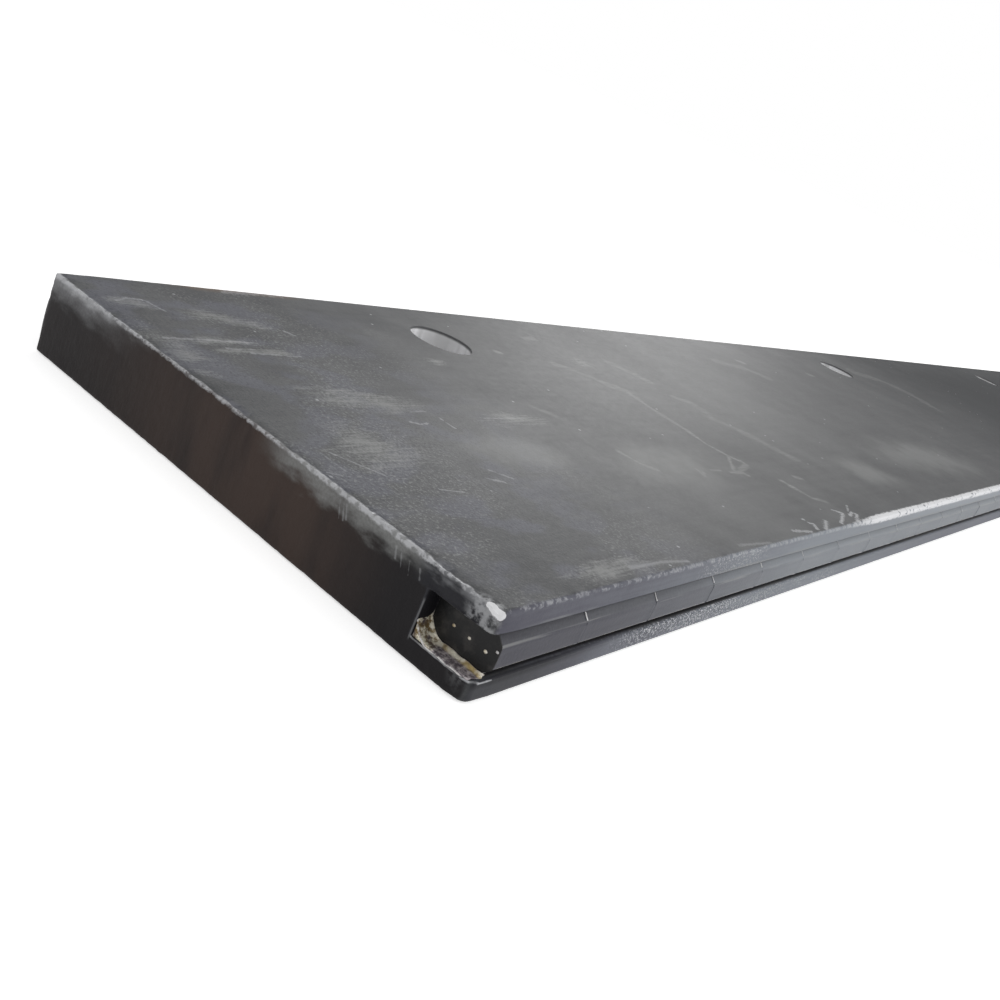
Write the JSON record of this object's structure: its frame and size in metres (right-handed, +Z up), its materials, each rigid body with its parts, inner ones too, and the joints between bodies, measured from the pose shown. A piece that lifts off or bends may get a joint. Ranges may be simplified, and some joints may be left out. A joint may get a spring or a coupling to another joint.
{
  "type": "snowplow cutting edge",
  "caption": "Flat snowplow cutting edge: a black painted steel bar with bolt holes, slotted along its front edge and filled with brazed carbide inserts.",
  "frame": {"origin": "on the lower broad face, under the middle of the whole edge's box", "axes": "+X along the bar from the end with the nearer bolt hole, +Y from the cutting edge to the back edge, +Z up from the lower broad face"},
  "size_m": [0.9144, 0.1269, 0.0175],
  "materials": {
    "bar": "worn black paint over mill scale",
    "carbide": "satin grey sintered carbide with a thin film of black paint",
    "braze": "dull silver-gold braze"
  },
  "bodies": {
    "root": {"blade_bar": "bar", "braze_filler": "braze", "insert_01": "carbide", "insert_02": "carbide", "insert_03": "carbide", "insert_04": "carbide", "insert_05": "carbide", "insert_06": "carbide", "insert_07": "carbide", "insert_08": "carbide", "insert_09": "carbide", "insert_10": "carbide", "insert_11": "carbide", "insert_12": "carbide", "insert_13": "carbide", "insert_14": "carbide", "insert_15": "carbide", "insert_16": "carbide", "insert_17": "carbide", "insert_18": "carbide", "insert_19": "carbide", "insert_20": "carbide", "insert_21": "carbide", "insert_22": "carbide", "insert_23": "carbide", "insert_24": "carbide", "insert_25": "carbide", "insert_26": "carbide", "insert_27": "carbide", "insert_28": "carbide", "insert_29": "carbide", "insert_30": "carbide", "insert_31": "carbide", "insert_32": "carbide", "insert_33": "carbide", "insert_34": "carbide", "insert_35": "carbide", "insert_36": "carbide"}
  },
  "joints": []
}
